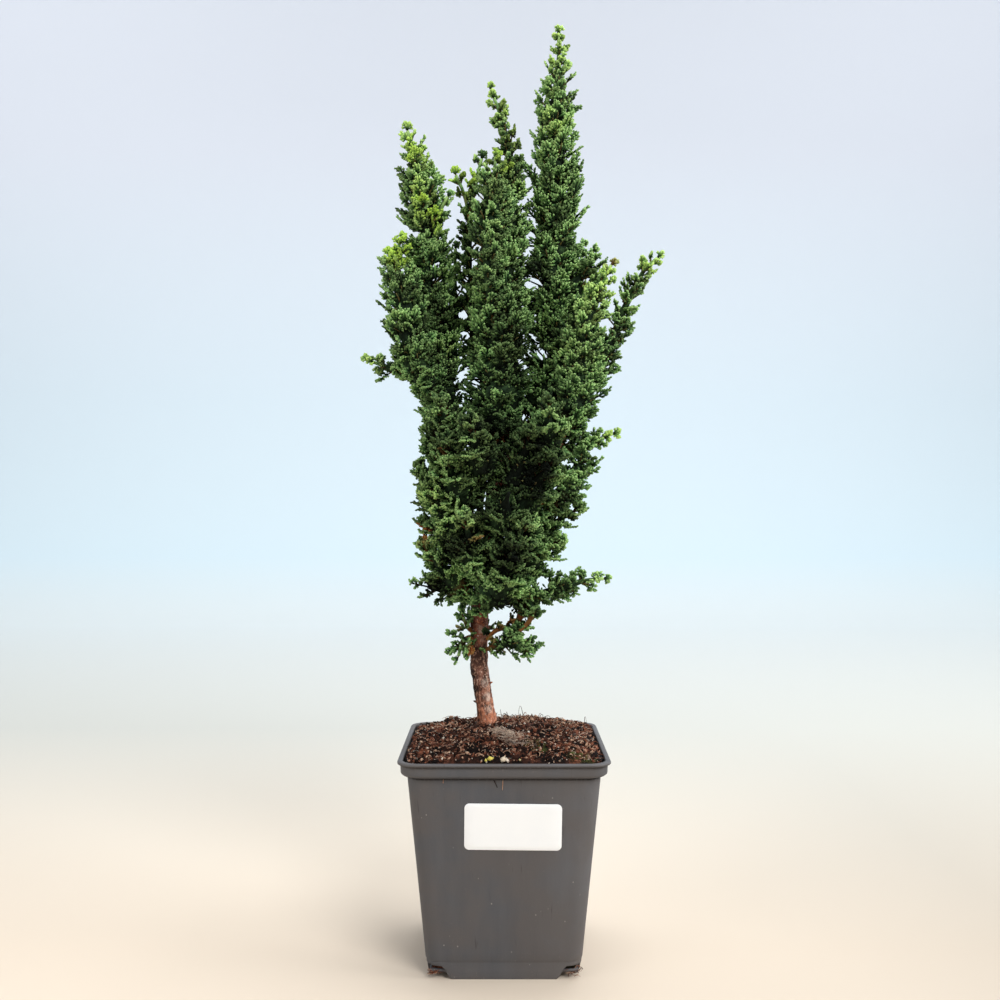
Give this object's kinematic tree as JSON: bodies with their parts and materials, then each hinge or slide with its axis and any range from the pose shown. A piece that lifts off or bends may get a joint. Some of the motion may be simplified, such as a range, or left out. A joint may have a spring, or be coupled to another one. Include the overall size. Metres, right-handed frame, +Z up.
{
  "type": "potted cypress bonsai",
  "caption": "Upright hinoki cypress bonsai: ascending leaders of scaly leaf sprays over a short bare trunk, rooted in soil in a square nursery pot with a plain label.",
  "frame": {"origin": "under the middle of the whole plant's outline, on the surface the pot stands on", "axes": "+Z up along the trunk; -Y is the side of the pot that carries the label"},
  "size_m": [0.1652, 0.1102, 0.5116],
  "materials": {
    "pot": "dark grey injection-moulded polypropylene, satin",
    "soil": "dark brown fibrous peat with pale grit",
    "label": "plain white paper label",
    "bark": "reddish brown flaking bark",
    "leaf": "dark green scale leaves with lighter tips"
  },
  "bodies": {
    "root": {"branch_back": "leaf", "branch_back_left": "leaf", "branch_back_right": "leaf", "branch_centre": "leaf", "branch_left": "leaf", "branch_right": "leaf", "branch_tall": "leaf", "label": "label", "pot": "pot", "shoot_02": "leaf", "shoot_03": "leaf", "shoot_04": "leaf", "shoot_05": "leaf", "shoot_06": "leaf", "shoot_07": "leaf", "shoot_08": "leaf", "shoot_09": "leaf", "shoot_10": "leaf", "shoot_11": "leaf", "shoot_12": "leaf", "shoot_13": "leaf", "shoot_14": "leaf", "shoot_15": "leaf", "shoot_16": "leaf", "shoot_17": "leaf", "shoot_18": "leaf", "shoot_19": "leaf", "shoot_20": "leaf", "shoot_21": "leaf", "shoot_22": "leaf", "shoot_23": "leaf", "shoot_24": "leaf", "shoot_25": "leaf", "shoot_26": "leaf", "shoot_29": "leaf", "shoot_31": "leaf", "shoot_32": "leaf", "shoot_33": "leaf", "shoot_34": "leaf", "shoot_35": "leaf", "soil": "soil", "spur_low_right": "leaf", "spur_right": "leaf", "trunk": "bark", "tuft_low_back": "leaf", "tuft_low_left": "leaf", "tuft_low_right": "leaf"}
  },
  "joints": []
}
